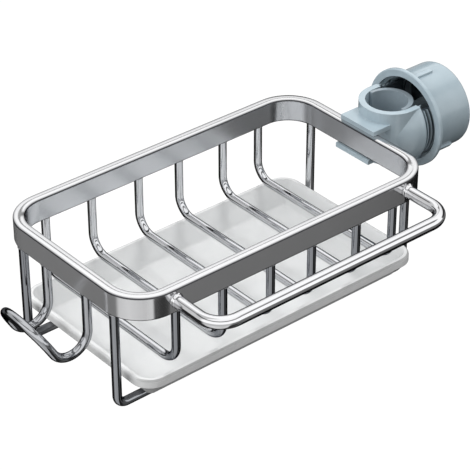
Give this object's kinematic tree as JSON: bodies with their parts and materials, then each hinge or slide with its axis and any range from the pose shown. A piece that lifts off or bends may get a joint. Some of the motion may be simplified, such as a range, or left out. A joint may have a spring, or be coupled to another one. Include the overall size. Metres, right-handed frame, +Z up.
{
  "type": "sponge holder",
  "caption": "Stainless wire sponge holder that hangs on a faucet, with drip tray, towel bar, side hook and screw clamp",
  "frame": {"origin": "on the faucet pipe's axis, level with the middle of the rim and of the clamp", "axes": "+X from the basket to the clamp's nut, -Y to the towel bar's side, +Z up along the pipe"},
  "size_m": [0.3342, 0.169, 0.1067],
  "materials": {
    "rim_steel": "polished stainless flat bar",
    "wire_steel": "polished stainless wire",
    "tray_plastic": "white, slightly milky plastic",
    "clamp_plastic": "blue-grey glossy plastic",
    "jaw_plastic": "blue-grey glossy plastic, a little darker"
  },
  "bodies": {
    "clamp": {"clamp_body": "clamp_plastic"},
    "rack": {"rim": "rim_steel", "cross_wire_1": "wire_steel", "cross_wire_2": "wire_steel", "cross_wire_3": "wire_steel", "cross_wire_4": "wire_steel", "cross_wire_5": "wire_steel", "cross_wire_6": "wire_steel", "support_rail_front": "wire_steel", "support_rail_back": "wire_steel", "towel_bar": "wire_steel", "side_hook": "wire_steel"},
    "tray": {"drip_tray": "tray_plastic"},
    "jaw": {"clamp_jaw": "jaw_plastic"},
    "nut": {"clamp_nut": "clamp_plastic"}
  },
  "joints": [
    {"name": "rack_slide", "type": "slide", "parent": "clamp", "child": "rack", "axis": [0, 1, 0], "range_m": [-0.024, 0.024]},
    {"name": "tray_slide", "type": "slide", "parent": "rack", "child": "tray", "axis": [0, -1, 0], "range_m": [0, 0.18]},
    {"name": "jaw_slide", "type": "slide", "parent": "clamp", "child": "jaw", "axis": [1, 0, 0], "range_m": [0, 0.009]},
    {"name": "nut_turn", "type": "hinge", "parent": "jaw", "child": "nut", "pos_m": [0, 0, 0], "axis": [1, 0, 0], "range_deg": [0, 1080]}
  ],
  "couplings": [
    {"joint": "jaw_slide", "follows": "nut_turn", "m_per_rad": 0.00047746}
  ]
}
